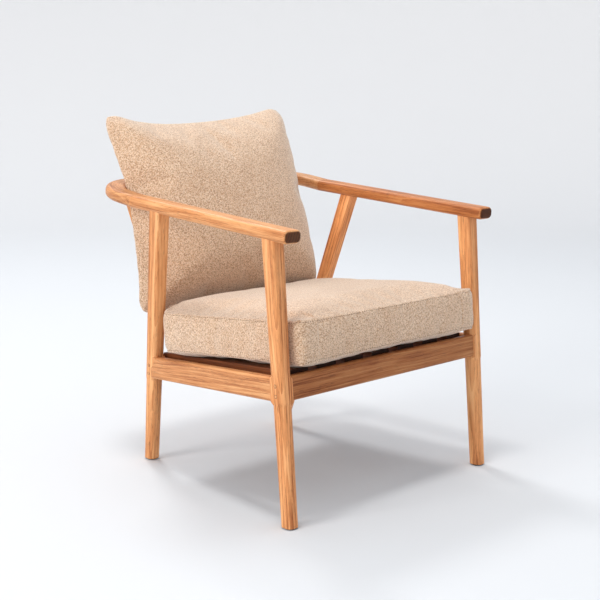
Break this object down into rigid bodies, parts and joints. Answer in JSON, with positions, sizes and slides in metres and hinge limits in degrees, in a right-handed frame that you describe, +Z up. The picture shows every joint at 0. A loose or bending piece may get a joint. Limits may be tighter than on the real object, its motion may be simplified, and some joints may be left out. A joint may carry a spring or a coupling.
{
  "type": "wooden armchair",
  "caption": "Low wooden armchair with splayed legs, bent arms meeting in a spindle back, a slatted seat, and loose seat and back cushions in nubby fabric.",
  "frame": {"origin": "on the floor, at the centre of the whole chair's footprint in plan", "axes": "+Z up, X across the chair with the sitter's left at +X, and the sitter faces -Y"},
  "size_m": [0.6614, 0.6957, 0.8243],
  "materials": {
    "oiled_wood": "oiled, satin",
    "peg_wood": "oiled, satin",
    "slat_wood": "bare, matte",
    "upholstery_fabric": "nubby looped weave",
    "foam": "open-cell foam",
    "fibre_filling": "loose fibre",
    "screw_steel": "zinc plated",
    "glide_plastic": "matte"
  },
  "bodies": {
    "frame": {"arm_dowels_left": "peg_wood", "arm_dowels_right": "peg_wood", "arm_left": "oiled_wood", "arm_right": "oiled_wood", "corner_left": "oiled_wood", "corner_right": "oiled_wood", "crest_dowels_left": "peg_wood", "crest_dowels_right": "peg_wood", "crest_rail": "oiled_wood", "front_glide_left": "glide_plastic", "front_glide_right": "glide_plastic", "front_ledger": "slat_wood", "front_leg_left": "oiled_wood", "front_leg_pegs_left": "peg_wood", "front_leg_pegs_right": "peg_wood", "front_leg_right": "oiled_wood", "front_rail": "oiled_wood", "rear_glide_left": "glide_plastic", "rear_glide_right": "glide_plastic", "rear_ledger": "slat_wood", "rear_leg_left": "oiled_wood", "rear_leg_pegs_left": "peg_wood", "rear_leg_pegs_right": "peg_wood", "rear_leg_right": "oiled_wood", "rear_rail": "oiled_wood", "seat_slat_1": "slat_wood", "seat_slat_2": "slat_wood", "seat_slat_3": "slat_wood", "seat_slat_4": "slat_wood", "seat_slat_5": "slat_wood", "seat_slat_6": "slat_wood", "seat_slat_7": "slat_wood", "side_rail_left": "oiled_wood", "side_rail_right": "oiled_wood", "slat_screws": "screw_steel", "spindle_1": "oiled_wood", "spindle_2": "oiled_wood", "spindle_3": "oiled_wood", "spindle_4": "oiled_wood", "spindle_5": "oiled_wood", "spindle_6": "oiled_wood", "spindle_7": "oiled_wood"},
    "seat_cushion": {"seat_cover": "upholstery_fabric", "seat_foam": "foam"},
    "back_cushion": {"back_cover": "upholstery_fabric", "back_filling": "fibre_filling"}
  },
  "joints": [
    {"name": "seat_cushion_slide", "type": "slide", "parent": "frame", "child": "seat_cushion", "axis": [0, -0.9959, 0.0906], "range_m": [0, 0.55]},
    {"name": "back_cushion_lift", "type": "slide", "parent": "frame", "child": "back_cushion", "axis": [0, 0, 1], "range_m": [0, 0.45]}
  ]
}
